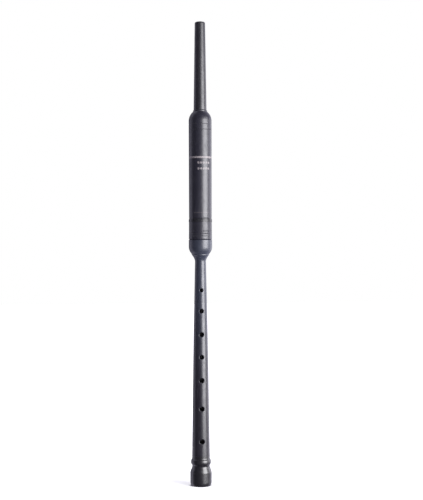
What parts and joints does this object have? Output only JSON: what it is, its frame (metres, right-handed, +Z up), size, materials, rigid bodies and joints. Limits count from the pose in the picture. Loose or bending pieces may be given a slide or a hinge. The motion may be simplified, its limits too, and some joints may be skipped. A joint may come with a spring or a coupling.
{
  "type": "bagpipe practice chanter",
  "caption": "Black plastic bagpipe practice chanter: blow stem, domed moisture-trap barrel that twists to drain, tapered tube with finger holes, flared sole and a double reed inside.",
  "frame": {"origin": "centre of the flat bottom of the sole", "axes": "+Z up the bore from the sole to the mouthpiece, -Y towards the side with the seven finger holes"},
  "size_m": [0.0248, 0.0248, 0.49],
  "materials": {
    "black_plastic": "satin, fine turning marks",
    "cool_black_plastic": "satin, fine turning marks",
    "inner_black_plastic": "dull",
    "rubber": "dull",
    "steel": "fine turned",
    "purple_plastic": "semi-gloss",
    "dark_staple_plastic": "dull",
    "amber_thread": "waxed thread",
    "maroon_thread": "waxed thread"
  },
  "bodies": {
    "lower_section": {"chanter_body": "cool_black_plastic", "sole": "black_plastic"},
    "reed": {"reed_staple": "dark_staple_plastic", "reed_blade_front": "purple_plastic", "reed_blade_back": "purple_plastic", "reed_seat_winding": "amber_thread", "reed_whipping": "maroon_thread"},
    "tenon_seals": {"tenon_seal_upper": "rubber", "tenon_seal_lower": "rubber"},
    "top_section": {"trap_core": "inner_black_plastic", "grip_collar": "black_plastic", "seam_ring": "rubber", "stop_pin": "steel", "air_chimney": "steel", "dome_cap": "black_plastic", "sleeve_seal_upper": "rubber", "sleeve_seal_lower": "rubber"},
    "twist_barrel": {"twist_sleeve": "black_plastic"},
    "blow_stem": {"mouthpiece": "black_plastic", "mouthpiece_seal": "rubber"}
  },
  "joints": [
    {"name": "reed_pull", "type": "slide", "parent": "lower_section", "child": "reed", "axis": [0, 0, 1], "range_m": [0, 0.013]},
    {"name": "top_turn", "type": "hinge", "parent": "lower_section", "child": "tenon_seals", "pos_m": [0, 0, 0.2596], "axis": [0, 0, 1], "continuous": true},
    {"name": "top_pull", "type": "slide", "parent": "tenon_seals", "child": "top_section", "axis": [0, 0, 1], "range_m": [0, 0.078]},
    {"name": "sleeve_twist", "type": "hinge", "parent": "top_section", "child": "twist_barrel", "pos_m": [0, 0, 0.2822], "axis": [0, 0, 1], "range_deg": [0, 90]},
    {"name": "mouthpiece_pull", "type": "slide", "parent": "top_section", "child": "blow_stem", "axis": [0, 0, 1], "range_m": [0, 0.0105]}
  ]
}
